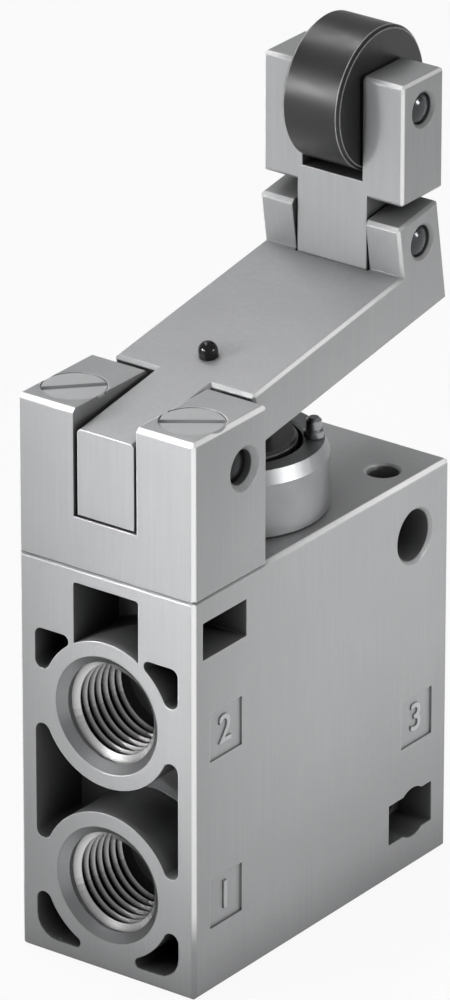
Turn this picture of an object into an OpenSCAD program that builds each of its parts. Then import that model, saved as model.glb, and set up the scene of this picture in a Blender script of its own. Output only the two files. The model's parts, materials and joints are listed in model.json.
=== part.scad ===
// Roller lever air valve: a three-port poppet valve worked by a lever
// whose roller head trips one way and folds idle the other way.
// Millimetres. Base on z = 0, plunger axis on the Z axis, port face towards -Y.

/* [Body] */
// Width across the two flat mounting sides
body_w = 26; // [25:0.5:30]
// Depth from the port face to the rear face
body_d = 52; // [50:0.5:56]
// Height from the base to the top face
body_h = 52.5; // [51:0.5:56]
// Edge break on the outer edges of the castings
edge_break = 0.5; // [0.2:0.1:0.8]

/* [Ports] */
// Bore of the ports, at the major diameter of their thread
port_d = 13.16; // [12:0.02:13.6]
// Wide end of the lead-in cone at each port mouth
port_mouth_d = 15.2; // [14.4:0.1:16]
// Depth of the threaded port bores
port_depth = 13; // [11.5:0.5:14]
// Height of the working port above the base
port_a_z = 34.2; // [33.5:0.1:35]
// Height of the supply port above the base
port_p_z = 11.7; // [11:0.1:12.5]
// Height of the exhaust port on the rear face
port_r_z = 20; // [19:0.5:21]
// Bore of the drilled passages behind the ports
passage_d = 6; // [5:0.5:6.5]
// Bore of the exhaust gallery
gallery_d = 4; // [3.5:0.5:4.5]

/* [Cored pockets] */
// Outer diameter of the round bosses that stand around the ports
boss_d = 19; // [18.4:0.1:19.4]
// Depth of the cored pockets in the port face
core_depth = 9; // [6:0.5:10]
// Wall left between the pockets and the body sides
core_wall = 2.4; // [2:0.1:3]
// Outer corner radius of the small upper pockets
core_r = 1; // [0.6:0.1:1.4]
// Radius of the pocket ends between a boss and a side wall
horn_r = 1.1; // [0.8:0.1:1.3]
// Rise of the small upper pockets above the working port
pocket_rise = 8.9; // [8.6:0.1:9.4]
// Wall left below the lower pockets
pocket_floor = 2; // [1.8:0.1:2.4]
// Outer corner radius of the lower pockets
pocket_low_r = 3; // [2:0.1:3.5]
// Width of the window pocket above the working port
window_w = 9.6; // [8:0.2:10]
// Wall left above the window pocket
window_roof = 2.05; // [1.6:0.05:3]
// Length of the pocket in each side under the block screws
side_core_l = 8.7; // [7.5:0.1:9]
// Height of the pocket in each side under the block screws
side_core_h = 4.85; // [4:0.05:5.5]
// Depth of the pocket in each side under the block screws
side_core_depth = 6.5; // [5:0.1:7]
// Wall left above the pocket in each side
side_core_roof = 3.25; // [2.5:0.05:4]
// Sunk depth of the port marking fields
plate_sink = 0.3; // [0.1:0.05:0.5]
// Edge length of the port marking fields
plate_l = 6.4; // [5.5:0.1:7]

/* [Mounting] */
// Bore of the two mounting holes
mount_d = 6.6; // [5.5:0.1:7]
// Height of the lower mounting hole
mount_low_z = 7.5; // [7:0.1:8]
// Distance between the two mounting holes
mount_pitch = 37.2; // [36.5:0.1:37.5]
// Distance of the mounting holes from the rear face
mount_inset = 7.2; // [6.5:0.1:7.5]
// Length of the rectangular relief around the lower mounting hole
relief_l = 8.95; // [8:0.05:9.5]
// Height of the rectangular relief around the lower mounting hole
relief_h = 5.35; // [4.5:0.05:6]
// Depth of the relief on each side
relief_depth = 5; // [3:0.5:6]
// Distance of the two tapped holes in the top face from the rear face
rear_hole_inset = 7.9; // [7:0.1:8.5]

/* [Guide bush] */
// Diameter of the bush above the body
bush_d = 22.5; // [21.5:0.1:24]
// Height of the bush above the body
bush_h = 8.7; // [8:0.1:10]
// Length of the bush inside the body
bush_l = 19.1; // [18.5:0.1:19.6]
// Diameter of the screwed part of the bush
bush_thread_d = 18.1; // [17.6:0.1:18.6]
// Diameter of the sealed lower part of the bush and of the body's bore
bush_spigot_d = 16.1; // [15.6:0.1:16.6]
// Recess in the bush top that the plunger head dips into
recess_d = 16; // [15.6:0.1:16.4]
// Radial gap around the plunger head
head_gap = 0.6; // [0.3:0.05:0.9]
// Top of the overtravel stop pegs above the bush
peg_h = 2.6; // [2:0.1:2.8]

/* [Plunger and poppet] */
// Diameter of the plunger stem
stem_d = 8; // [7.4:0.1:8.4]
// Bore of the valve seat
seat_d = 9.6; // [9:0.1:10]
// Width of the raised lip of the valve seat
seat_lip_w = 0.8; // [0.6:0.1:1]
// Stroke that closes the exhaust before the poppet opens
exhaust_gap = 0.8; // [0.6:0.05:1]
// Height of the plunger head above the bush top at rest
head_rise = 0.5; // [0.2:0.1:1]
// Wire of the plunger spring
plunger_wire_d = 1.1; // [0.9:0.1:1.2]
// Wire of the poppet spring
poppet_wire_d = 0.8; // [0.6:0.1:0.9]

/* [Lever block] */
// Depth of the bearing block
block_d = 14.6; // [14.2:0.1:15]
// Height of the bearing block above the body
block_h = 20.25; // [19.8:0.05:21]
// Width of the slot that takes the lever's tang
slot_w = 9.3; // [9:0.1:9.8]
// Depth of the slot below the block's top
slot_depth = 13.75; // [13.5:0.05:14]
// Diameter of the lever pin
lever_pin_d = 4.4; // [4:0.1:4.6]
// Distance of the lever pin behind the port face
pivot_back = 10; // [9.8:0.1:10.2]
// Height of the lever pin above the body
pivot_rise = 13.7; // [13.5:0.1:14]
// Thread diameter of the block screws
screw_d = 4; // [3.5:0.1:4.2]
// Head diameter of the block screws
screw_head_d = 8; // [7.4:0.1:8.2]
// Length of the block screws
screw_l = 25; // [24:0.5:26]
// Turn of the slot in the left screw
screw_turn_left = 46; // [0:1:180]
// Turn of the slot in the right screw
screw_turn_right = 36; // [0:1:180]
// Distance of the block screws from the middle plane
screw_x = 8.65; // [8.5:0.05:8.8]

/* [Lever] */
// Width of the lever
lever_w = 20.6; // [19.6:0.2:22]
// Edge break on the lever and the roller fork
lever_break = 0.4; // [0.2:0.1:0.6]
// Upward slope of the lever at rest
lever_tilt = 9; // [8:0.25:9.5]
// Swing of the lever from rest to full stroke
lever_swing = 10; // [9:0.25:10]
// Thickness of the lever plate
lever_t = 7.1; // [6.8:0.1:7.4]
// Height of the lever's top face above its pin
lever_top = 5.65; // [5.4:0.05:5.8]
// Length of the lever from its pin to its end
lever_l = 45.3; // [44.8:0.1:46]
// Height of the clevis ears above the lever plate
ear_h = 6.6; // [6.5:0.1:7]
// Length of the clevis ears along the lever
ear_l = 8.3; // [8.1:0.1:8.5]
// Thickness of the wear pad under the lever
pad_t = 1.2; // [0.8:0.1:1.4]
// Width of the wear pad
pad_w = 8; // [7:0.5:9]
// Distance of the pad rivet from the lever pin
rivet_v = 11.5; // [10.5:0.1:12]
// Diameter of the rivet's domed head
rivet_head_d = 2.4; // [2.2:0.1:2.8]

/* [Roller head] */
// Distance of the trip pin from the lever pin along the lever
trip_v = 41.4; // [41.2:0.05:41.6]
// Height of the trip pin above the lever's top face
trip_rise = 2.75; // [2.65:0.05:2.8]
// Diameter of the trip pin
trip_pin_d = 4; // [3.6:0.1:4.2]
// Depth of the roller fork from front to back
fork_d = 8.4; // [8.2:0.1:8.5]
// Height of the fork's shoulders above the trip pin
shoulder_rise = 5.7; // [5.65:0.05:6]
// Height of the fork's top above the trip pin
fork_rise = 21.2; // [21:0.1:22.5]
// Width of the fork's tongue between the clevis ears
tongue_w = 10.2; // [9.6:0.1:10.6]
// Diameter of the roller
roller_d = 18; // [16.5:0.1:18.2]
// Width of the roller
roller_w = 8.4; // [7.6:0.1:9]
// Height of the roller pin above the trip pin
roller_rise = 17.1; // [17:0.05:17.6]
// Diameter of the roller pin
roller_pin_d = 4; // [3.6:0.1:4.4]

/* [Fits] */
// Radial running clearance of pins and guides
run_gap = 0.05; // [0.02:0.01:0.1]
// Radial clearance of screwed and sealed seats
seat_gap = 0.03; // [0.01:0.01:0.05]
// Side clearance of moving parts in their slots
side_gap = 0.25; // [0.15:0.05:0.4]
// Free play between the wear pad and the plunger at rest
touch_gap = 0.05; // [0.03:0.01:0.1]
// Gap between the folded fork's shoulders and the clevis ears
fold_gap = 0.17; // [0.1:0.01:0.3]
// Gap between the roller and the floor of the fork's slot
roller_gap = 0.3; // [0.2:0.05:0.5]
// Gap between the bearing block and the bush behind it
block_gap = 0.15; // [0.05:0.05:0.5]

/* [Hidden] */
$fn = 64;
eps = 0.01;
hw = body_w / 2;
y_front = -(bush_d / 2 + block_gap + block_d);
y_back = y_front + body_d;
port_r = port_d / 2;
mouth_r = port_mouth_d / 2;
boss_r = boss_d / 2;
core_x = hw - core_wall;
window_r = 0.4;
side_corner_r = 0.15;
plate_front = 6.3;
plate_rear = 6.5;
plate_a_drop = 0.45;

// ends of the pockets: small rounds that touch a boss and a wall
top_end_r = 0.8;
low_end_r = 0.7;
end_slack = 15;
horn_x = core_x - horn_r;
horn_drop = sqrt(pow(boss_r + horn_r, 2) - pow(horn_x, 2));
horn_a = 90 + asin(horn_x / (boss_r + horn_r)) - end_slack;
top_end_z = port_a_z + pocket_rise - top_end_r;
top_end_x = sqrt(pow(boss_r + top_end_r, 2) - pow(top_end_z - port_a_z, 2));
top_end_a = 180 + atan((top_end_z - port_a_z) / top_end_x) - end_slack;
low_end_z = pocket_floor + low_end_r;
low_end_x = sqrt(pow(boss_r + low_end_r, 2) - pow(port_p_z - low_end_z, 2));
low_end_a = 180 - atan((port_p_z - low_end_z) / low_end_x) + end_slack;

// levels inside the body, from the base up
plug_l = 6.5;
plug_r = 8.5;
plug_guide_r = 2.25;
chamber_r = 7;
chamber_h = 11.5;
shelf_z = plug_l + chamber_h;
seat_h = 3.5;
seat_lip_h = 0.8;
seat_z = shelf_z - seat_lip_h;
bore_r = bush_spigot_d / 2;
thread_r = bush_thread_d / 2;
thread_l = 7.5;
thread_z = body_h - thread_l;
bush_r = bush_d / 2;
bush_top = body_h + bush_h;
bush_end = body_h - bush_l;
bush_foot = 0.3;
bush_brow = 0.65;
bush_brow_h = 1.7;
recess_edge = 0.3;
vent_drop = 14.1;
vent_z = body_h - vent_drop;
gallery_wall = 2;
gallery_y = plug_r + gallery_wall + gallery_d / 2;
ball_sink = 0.6;
passage_a_z = port_a_z - (port_r - passage_d / 2) + 0.2;
mount_y = y_back - mount_inset;
mount_top_z = mount_low_z + mount_pitch;

// seals: cord radius and groove width
cord_r = 0.66;
groove_w = 1.9;
groove_t = 2 * cord_r + 0.07;
cord_gap = 0.02;
bush_seal_low = 3.2;
bush_seal_high = 3.6;
stem_seal_low = 3.5;
stem_seal_high = 3.4;
bush_seal_z = [vent_z - bush_seal_low, vent_z + bush_seal_high];
stem_seal_z = [vent_z - stem_seal_low, vent_z + stem_seal_high];
seat_seal_z = shelf_z + seat_h / 2;
plug_seal_z = plug_l - 1.9;

// bearing block and lever pivot
pivot_y = y_front + pivot_back;
pivot_z = body_h + pivot_rise;
pin_r = lever_pin_d / 2;
pin_sink = 1.1;
pin_dome = 0.5;
pin_mouth = 0.7;
block_top = body_h + block_h;
slot_floor = block_top - slot_depth;
screw_r = screw_d / 2;
screw_web = 0.25;
screw_y = pivot_y - pin_r - screw_r - screw_web;
screw_top = block_top - 0.05;
screw_slot_w = 1;
screw_slot_h = 0.9;
rear_screw_y = y_back - rear_hole_inset;
side_core_shift = 0.5;
side_core_y = screw_y - side_core_l / 2 + side_core_shift;
side_core_z = body_h - side_core_roof - side_core_h;

// lever: v runs along it from the pin, w is square to it
lever_x = lever_w / 2;
lever_bot = lever_top - lever_t;
lever_v0 = 6.4;
tang_heel = 5.4;
tang_root = 8;
tang_x = slot_w / 2 - side_gap - 0.25;
ear_top = lever_top + ear_h;
ear_v = lever_l - ear_l;
ear_x = tongue_w / 2 + side_gap + 0.1;
trip_w = lever_top + trip_rise;
fold_r = shoulder_rise - fold_gap;
ear_relief = max(lever_break, ear_top - trip_w - sqrt(pow(fold_r, 2) - pow(trip_v - ear_v, 2)));
trip_y = pivot_y + trip_v * cos(lever_tilt) - trip_w * sin(lever_tilt);
trip_z = pivot_z + trip_v * sin(lever_tilt) + trip_w * cos(lever_tilt);
trip_r = trip_pin_d / 2;
pad_v = [8.6, 22.6];
rivet_r = 1;

// plunger: the nose just meets the sloping wear pad
nose_r = 4.2;
dome_r = 6;
nose_lift = dome_r * (1 / cos(lever_tilt) - 1);
nose_top = pad_z(0, lever_tilt) - nose_lift - touch_gap;
nose_low = pad_z(0, lever_tilt - lever_swing);
plunger_stroke = nose_top - nose_low + touch_gap;
head_r = recess_d / 2 - head_gap;
head_t = 2.8;
head_top = bush_top + head_rise;
head_z = head_top - head_t;
recess_z = head_z - plunger_stroke - 0.7;
spring_r = 6.4;
spring_drop = 6;
spring_z = body_h - spring_drop;
spring_play = 0.3;
stem_r = stem_d / 2;
guide_r = stem_r + run_gap;
tip_r = 3.2;
tip_l = 6;
tip_z = seat_z + exhaust_gap;
stem_top = head_top + 1.2;
hollow_r = 1.9;
clip_t = 0.8;
clip_r = stem_r - 0.6;
clip_z = bush_end - 0.15 - clip_t;

// poppet
poppet_r = 6.3;
poppet_seal_r = poppet_r - 0.6;
poppet_seal_t = 1.8;
poppet_t = 1.8;
poppet_rim = 0.35;
poppet_z = seat_z - poppet_seal_t - poppet_t;
poppet_stroke = plunger_stroke - exhaust_gap + 0.05;
guide_pin_r = plug_guide_r - run_gap;
guide_floor = 1.9;
guide_pin_z = guide_floor + poppet_stroke + 0.3;
poppet_coil_gap = 1.6;

// roller head
fork_y = fork_d / 2;
fork_top = trip_z + fork_rise;
shoulder_z = trip_z + shoulder_rise;
tongue_x = tongue_w / 2;
heel_l = 6;
roller_r = roller_d / 2;
roller_z = trip_z + roller_rise;
roller_pin_r = roller_pin_d / 2;
fork_slot_x = roller_w / 2 + side_gap;
fork_floor = roller_z - roller_r - roller_gap;
roller_rim = 0.4;
pin_short = 0.15;
hole_break = 0.4;
coil_wire_d = 0.6;
coil_r = trip_r + 0.35 + coil_wire_d / 2;
coil_pitch = 0.7;
coil_turns = 3.5;
coil_pocket_r = coil_r + 0.65;
coil_side = 0.55;
coil_x = -tongue_x + coil_side;
leg_l = 4.4;
hook_r = 0.5;
hook_l = 1.3;

// height of the lever's or the pad's flat at depth y, for a lever sloped by a
function lever_z(y, w, a) = pivot_z + (y - pivot_y) * tan(a) + w / cos(a);
function pad_z(y, a) = lever_z(y, lever_bot - pad_t, a);

// rectangle with its corners cut off, centred
function octagon(w, h, c) = [
    [-w / 2 + c, -h / 2], [w / 2 - c, -h / 2], [w / 2, -h / 2 + c], [w / 2, h / 2 - c],
    [w / 2 - c, h / 2], [-w / 2 + c, h / 2], [-w / 2, h / 2 - c], [-w / 2, -h / 2 + c]];

// arc of radius r about c from angle a0 to a1, and a quarter round that starts at angle a
function arc(c, r, a0, a1, n = 8) = [for (i = [0:n])
    c + r * [cos(a0 + (a1 - a0) * i / n), sin(a0 + (a1 - a0) * i / n)]];
function corner(cx, cy, r, a) = arc([cx, cy], r, a, a + 90, 5);

// rectangle with a radius of its own at each corner, from lower left anticlockwise
function soft_rect(x0, y0, x1, y1, r) = concat(
    corner(x0 + r[0], y0 + r[0], r[0], 180), corner(x1 - r[1], y0 + r[1], r[1], 270),
    corner(x1 - r[2], y1 - r[2], r[2], 0), corner(x0 + r[3], y1 - r[3], r[3], 90));

// block between two corners with every edge broken
module broken_block(lo, hi, c) {
    s = hi - lo;
    translate((lo + hi) / 2)
        intersection() {
            linear_extrude(height = s[2], center = true)
                polygon(octagon(s[0], s[1], c));
            rotate([90, 0, 90])
                linear_extrude(height = s[0], center = true)
                    polygon(octagon(s[1], s[2], c));
            rotate([90, 0, 0])
                linear_extrude(height = s[1], center = true)
                    polygon(octagon(s[0], s[2], c));
        }
}

// straight-sided block between two corners
module block(lo, hi) {
    translate(lo)
        cube(hi - lo);
}

// profile drawn in depth and height, extruded across from x0 to x1
module across(x0, x1) {
    translate([x0, 0, 0])
        rotate([90, 0, 90])
            linear_extrude(height = x1 - x0)
                children();
}

// round bar across the part from x0 to x1
module crossbar(x0, x1, y, z, r) {
    translate([x0, y, z])
        rotate([0, 90, 0])
            cylinder(r = r, h = x1 - x0);
}

// ring of round cord
module cord_ring(r, z) {
    translate([0, 0, z])
        rotate_extrude()
            translate([r, 0])
                circle(r = cord_r, $fn = 32);
}

// places its children in the lever's own tilted frame
module on_lever() {
    translate([0, pivot_y, pivot_z])
        rotate([lever_tilt, 0, 0])
            children();
}

// path of a cylindrical spring with closed ends, wound about the Z axis
function coil_level(t, n, h, d) = t < 0.8 ? d * t : t > n - 0.8 ? h - d * (n - t) :
    0.8 * d + (h - 1.6 * d) * (t - 0.8) / (n - 1.6);
function coil_path(r, z0, z1, n, d) = [for (i = [0:16 * n])
    [r * cos(22.5 * i), r * sin(22.5 * i), z0 + coil_level(i / 16, n, z1 - z0, d)]];

// round wire swept along a path
function unit(v) = v / norm(v);
function headings(p) = [for (i = [0:len(p) - 1])
    unit(p[min(i + 1, len(p) - 1)] - p[max(i - 1, 0)])];
function sides(t, n, i = 0) = i == len(t) ? [] :
    let (m = unit(n - (n * t[i]) * t[i])) concat([m], sides(t, m, i + 1));
module wire(path, r, first, k = 8) {
    t = headings(path);
    n = sides(t, first);
    last = len(path) - 1;
    points = [for (i = [0:last]) for (j = [0:k - 1])
        path[i] + r * (cos(360 * j / k) * n[i] + sin(360 * j / k) * cross(t[i], n[i]))];
    skin = [for (i = [0:last - 1]) for (j = [0:k - 1]) for (h = [0, 1])
        h == 0 ? [i * k + j, (i + 1) * k + j, (i + 1) * k + (j + 1) % k]
               : [i * k + j, (i + 1) * k + (j + 1) % k, i * k + (j + 1) % k]];
    ends = [[for (j = [0:k - 1]) j], [for (j = [k - 1:-1:0]) last * k + j]];
    polyhedron(points = points, faces = concat(skin, ends), convexity = 8);
}

// threaded port with its lead-in cone, cut from the origin along +Z
module port_cut() {
    rotate_extrude()
        polygon([[0, -1], [mouth_r, -1], [mouth_r, 0], [port_r, mouth_r - port_r],
                 [port_r, port_depth], [0, port_depth + port_r * 0.3]]);
}

// point inside the port boss at height z, on the line to the pocket end at c
function inside_boss(c, z) = 0.7 * c + 0.3 * [0, z];

// outline of the waisted pocket between the two port bosses
function waist_outline() = let (up = port_a_z - horn_drop, low = port_p_z + horn_drop) concat(
    arc([horn_x, up], horn_r, 0, horn_a),
    [for (s = [1, -1]) inside_boss([s * horn_x, up], port_a_z)],
    arc([-horn_x, up], horn_r, 180 - horn_a, 180),
    arc([-horn_x, low], horn_r, 180, 180 + horn_a),
    [for (s = [-1, 1]) inside_boss([s * horn_x, low], port_p_z)],
    arc([horn_x, low], horn_r, 360 - horn_a, 360));

// outline of the small pocket on the right above the working port
function upper_outline() = let (foot = [horn_x, port_a_z + horn_drop], tip = [top_end_x, top_end_z]) concat(
    arc(foot, horn_r, 360 - horn_a, 360),
    corner(core_x - core_r, port_a_z + pocket_rise - core_r, core_r, 0),
    arc(tip, top_end_r, 90, top_end_a),
    [for (c = [tip, foot]) inside_boss(c, port_a_z)]);

// outline of the pocket on the right below the supply port
function lower_outline() = let (head = [horn_x, port_p_z - horn_drop], tip = [low_end_x, low_end_z]) concat(
    arc(tip, low_end_r, low_end_a, 270),
    corner(core_x - pocket_low_r, pocket_floor + pocket_low_r, pocket_low_r, 270),
    arc(head, horn_r, 0, horn_a),
    [for (c = [head, tip]) inside_boss(c, port_p_z)]);

// cored pocket of a given outline in the port face
module front_pocket(outline) {
    translate([0, y_front + core_depth, 0])
        rotate([90, 0, 0])
            linear_extrude(height = core_depth + 1)
                polygon(outline);
}

// every cored pocket of the port face, with the round port bosses left standing
module front_pockets() {
    difference() {
        union() {
            front_pocket(soft_rect(-window_w / 2, port_a_z, window_w / 2, body_h - window_roof,
                                   [window_r, window_r, window_r, window_r]));
            front_pocket(waist_outline());
            for (s = [0, 1])
                mirror([s, 0, 0]) {
                    front_pocket(upper_outline());
                    front_pocket(lower_outline());
                }
        }
        for (z = [port_a_z, port_p_z])
            translate([0, y_front - 2, z])
                rotate([-90, 0, 0])
                    cylinder(r = boss_r, h = core_depth + 4);
    }
}

// broken mouths, c wide, of a hole of radius r across the part, at x = -x0 and x = x0
module mouth_pair(x0, y, z, r, c) {
    for (s = [-1, 1])
        translate([s * x0, y, z])
            rotate([0, -90 * s, 0])
                translate([0, 0, -c])
                    cylinder(r1 = r + 2 * c, r2 = r, h = 2 * c);
}

// shallow square field beside a port
module plate_cut(y, z) {
    block([hw - plate_sink, y - plate_l / 2, z - plate_l / 2], [hw + 1, y + plate_l / 2, z + plate_l / 2]);
}

module valve_body() {
    side_corners = [side_corner_r, side_corner_r, side_corner_r, side_corner_r];
    color("#b9bbbd")
        difference() {
            broken_block([-hw, y_front, 0], [hw, y_back, body_h], edge_break);
            front_pockets();
            for (z = [port_a_z, port_p_z])
                translate([0, y_front, z])
                    rotate([-90, 0, 0])
                        port_cut();
            translate([0, y_back, port_r_z])
                rotate([90, 0, 0])
                    port_cut();
            // stepped central bore from plug to bush
            rotate_extrude()
                polygon([[0, -1], [plug_r, -1], [plug_r, plug_l], [chamber_r, plug_l],
                         [chamber_r, shelf_z], [bore_r, shelf_z], [bore_r, thread_z],
                         [thread_r, thread_z], [thread_r, body_h + 1], [0, body_h + 1]]);
            // supply and working passages
            for (z = [port_p_z, passage_a_z])
                translate([0, y_front + port_depth - 1, z])
                    rotate([-90, 0, 0])
                        cylinder(d = passage_d, h = -y_front - port_depth - 3);
            // exhaust gallery: port to riser, riser, riser to bush
            translate([0, gallery_y - 1, port_r_z])
                rotate([-90, 0, 0])
                    cylinder(d = gallery_d, h = y_back - gallery_y - port_depth + 3);
            translate([0, gallery_y, -1])
                cylinder(d = gallery_d, h = vent_z + gallery_d / 2 + 1);
            translate([0, bore_r - 1, vent_z])
                rotate([-90, 0, 0])
                    cylinder(d = gallery_d, h = y_back - bore_r + 2);
            // mounting holes and the relief at the lower one
            for (z = [mount_low_z, mount_top_z])
                crossbar(-hw - 1, hw + 1, mount_y, z, mount_d / 2);
            mouth_pair(hw, mount_y, mount_top_z, mount_d / 2, hole_break);
            for (s = [-1, 1])
                translate([s * (hw + 1 - relief_depth / 2), mount_y - 0.5, mount_low_z])
                    rotate([90, 0, 90])
                        linear_extrude(height = relief_depth + 2, center = true)
                            polygon(soft_rect(-relief_l / 2, -relief_h / 2, relief_l / 2, relief_h / 2,
                                              side_corners));
            // pockets under the block screws
            for (s = [-1, 1])
                translate([s * (hw + 1 - side_core_depth / 2), side_core_y, side_core_z])
                    rotate([90, 0, 90])
                        linear_extrude(height = side_core_depth + 2, center = true)
                            polygon(soft_rect(0, 0, side_core_l, side_core_h, side_corners));
            // tapped holes for the block, and a second pair at the rear
            for (s = [-1, 1]) {
                translate([s * screw_x, screw_y, side_core_z + 1])
                    cylinder(r = screw_r + seat_gap, h = body_h - side_core_z);
                translate([s * screw_x, rear_screw_y, body_h - 3.5])
                    cylinder(r = screw_r + seat_gap, h = 4.5);
                translate([s * screw_x, rear_screw_y, body_h - 0.3])
                    cylinder(r1 = screw_r, r2 = screw_r + 0.6, h = 0.6);
            }
            // sunk fields for the port numbers
            plate_cut(y_front + plate_front, port_a_z - plate_a_drop);
            plate_cut(y_front + plate_front, port_p_z);
            plate_cut(y_back - plate_rear, port_r_z);
        }
}

module guide_bush() {
    s = thread_r - seat_gap;
    p = bore_r - seat_gap;
    g = groove_w / 2;
    o = p - groove_t;
    i = guide_r + groove_t;
    color("#cfd1d3")
        difference() {
            rotate_extrude($fn = 96)
                polygon([[guide_r, bush_end], [guide_r, stem_seal_z[0] - g], [i, stem_seal_z[0] - g],
                         [i, stem_seal_z[0] + g], [guide_r, stem_seal_z[0] + g],
                         [guide_r, vent_z - 1.3], [guide_r + 1, vent_z - 1.3],
                         [guide_r + 1, vent_z + 1.3], [guide_r, vent_z + 1.3],
                         [guide_r, stem_seal_z[1] - g], [i, stem_seal_z[1] - g],
                         [i, stem_seal_z[1] + g], [guide_r, stem_seal_z[1] + g],
                         [guide_r, spring_z], [spring_r, spring_z], [spring_r, recess_z],
                         [recess_d / 2, recess_z], [recess_d / 2, bush_top - recess_edge],
                         [recess_d / 2 + recess_edge, bush_top], [bush_r - bush_brow, bush_top],
                         [bush_r, bush_top - bush_brow_h], [bush_r, body_h + bush_foot],
                         [bush_r - bush_foot, body_h], [s, body_h], [s, thread_z],
                         [p, thread_z], [p, bush_seal_z[1] + g], [o, bush_seal_z[1] + g],
                         [o, bush_seal_z[1] - g], [p, bush_seal_z[1] - g], [p, vent_z + 1.5],
                         [p - 1, vent_z + 1.5], [p - 1, vent_z - 1.5], [p, vent_z - 1.5],
                         [p, bush_seal_z[0] + g], [o, bush_seal_z[0] + g], [o, bush_seal_z[0] - g],
                         [p, bush_seal_z[0] - g], [p, bush_end]]);
            translate([0, 0, vent_z])
                for (a = [0, 90])
                    rotate([90, 0, a])
                        cylinder(r = 1.2, h = 2 * bore_r + 2, center = true);
            peg_places()
                translate([0, 0, -peg_seat])
                    cylinder(r = peg_shank_r, h = peg_seat + 1);
        }
}

module bush_seals() {
    color("#242424")
        for (z = bush_seal_z)
            cord_ring(bore_r - seat_gap - groove_t + cord_r + cord_gap, z);
}

module stem_seals() {
    color("#242424")
        for (z = stem_seal_z)
            cord_ring(guide_r + groove_t - cord_r - cord_gap, z);
}

module valve_seat() {
    p = bore_r - seat_gap;
    g = groove_w / 2;
    z = seat_seal_z;
    color("#c6a35a")
        rotate_extrude()
            polygon([[seat_d / 2, seat_z], [seat_d / 2 + seat_lip_w, seat_z],
                     [seat_d / 2 + seat_lip_w, shelf_z], [p, shelf_z], [p, z - g], [p - groove_t, z - g],
                     [p - groove_t, z + g], [p, z + g], [p, shelf_z + seat_h],
                     [seat_d / 2 + 1, shelf_z + seat_h], [seat_d / 2, shelf_z + seat_h - 1]]);
}

module seat_seal() {
    color("#242424")
        cord_ring(bore_r - seat_gap - groove_t + cord_r + cord_gap, seat_seal_z);
}

module closing_plug() {
    p = plug_r - seat_gap;
    g = groove_w / 2;
    z = plug_seal_z;
    color("#b4b6b8")
        difference() {
            rotate_extrude()
                polygon([[0, 0], [p - 0.5, 0], [p, 0.5], [p, z - g], [p - groove_t, z - g],
                         [p - groove_t, z + g], [p, z + g], [p, plug_l], [plug_guide_r + 0.4, plug_l],
                         [plug_guide_r, plug_l - 0.4], [plug_guide_r, guide_floor], [0, guide_floor]]);
            for (s = [-1, 1])
                translate([s * 5.4, 0, -1])
                    cylinder(d = 2.4, h = 3);
        }
}

module plug_seal() {
    color("#242424")
        cord_ring(plug_r - seat_gap - groove_t + cord_r + cord_gap, plug_seal_z);
}

module gallery_balls() {
    color("#d6d7d8") {
        translate([0, gallery_y, gallery_d / 2 + ball_sink])
            sphere(d = gallery_d);
        translate([0, y_back - gallery_d / 2 - ball_sink, vent_z])
            sphere(d = gallery_d);
    }
}

// stop pegs stand on the bush rim under the lever
peg_shank_r = 0.8;
peg_seat = 3;
peg_flange_r = 1.25;
peg_flange_h = 1.05;
peg_edge = 0.15;
peg_tip_r = 0.95;
peg_nose = 0.35;
peg_turn = 36;
peg_pcr = recess_d / 2 + peg_flange_r;
module peg_places() {
    for (s = [-1, 1])
        translate([s * peg_pcr * cos(peg_turn), peg_pcr * sin(peg_turn), bush_top])
            children();
}

module stop_pegs() {
    color("#8e9092")
        peg_places()
            rotate_extrude($fn = 32)
                polygon([[0, -peg_seat], [peg_shank_r, -peg_seat], [peg_shank_r, 0],
                         [peg_flange_r - peg_edge, 0], [peg_flange_r, peg_edge],
                         [peg_flange_r, peg_flange_h - peg_edge], [peg_flange_r - peg_edge, peg_flange_h],
                         [peg_tip_r, peg_flange_h], [peg_tip_r, peg_h - peg_nose],
                         [peg_tip_r - peg_nose, peg_h], [0, peg_h]]);
}

module bearing_block() {
    color("#c4c6c8")
        difference() {
            intersection() {
                broken_block([-hw, y_front, body_h - 2], [hw, y_front + block_d, block_top], edge_break);
                block([-hw - 1, y_front - 1, body_h], [hw + 1, y_front + block_d + 1, block_top + 1]);
            }
            block([-slot_w / 2, y_front - 1, slot_floor],
                  [slot_w / 2, y_front + block_d + 1, block_top + 1]);
            // pin hole with wide, broken mouths
            crossbar(-hw - 1, hw + 1, pivot_y, pivot_z, pin_r);
            mouth_pair(hw, pivot_y, pivot_z, pin_r, pin_mouth);
            // countersunk screw holes
            for (s = [-1, 1])
                translate([s * screw_x, screw_y, 0]) {
                    translate([0, 0, body_h - 1])
                        cylinder(r = screw_r + run_gap, h = block_h + 2);
                    translate([0, 0, block_top])
                        screw_sink(run_gap);
                }
        }
}

// countersink cone and rim below the block's top face
module screw_sink(gap) {
    r = screw_head_d / 2 + gap;
    rotate_extrude()
        polygon([[0, 1], [r, 1], [r, -0.35], [screw_r, -0.35 - r + screw_r], [0, -0.35 - r + screw_r]]);
}

module block_screws() {
    r = screw_head_d / 2;
    color("#a5a7a9")
        for (s = [-1, 1])
            translate([s * screw_x, screw_y, screw_top])
                difference() {
                    rotate_extrude()
                        polygon([[0, 0], [r - 0.15, 0], [r, -0.15], [r, -0.35],
                                 [screw_r, -0.35 - r + screw_r], [screw_r, -screw_l + 0.5],
                                 [screw_r - 0.5, -screw_l], [0, -screw_l]]);
                    rotate([0, 0, s < 0 ? screw_turn_left : screw_turn_right])
                        translate([-r - 1, -screw_slot_w / 2, -screw_slot_h])
                            cube([2 * r + 2, screw_slot_w, 2]);
                }
}

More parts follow.
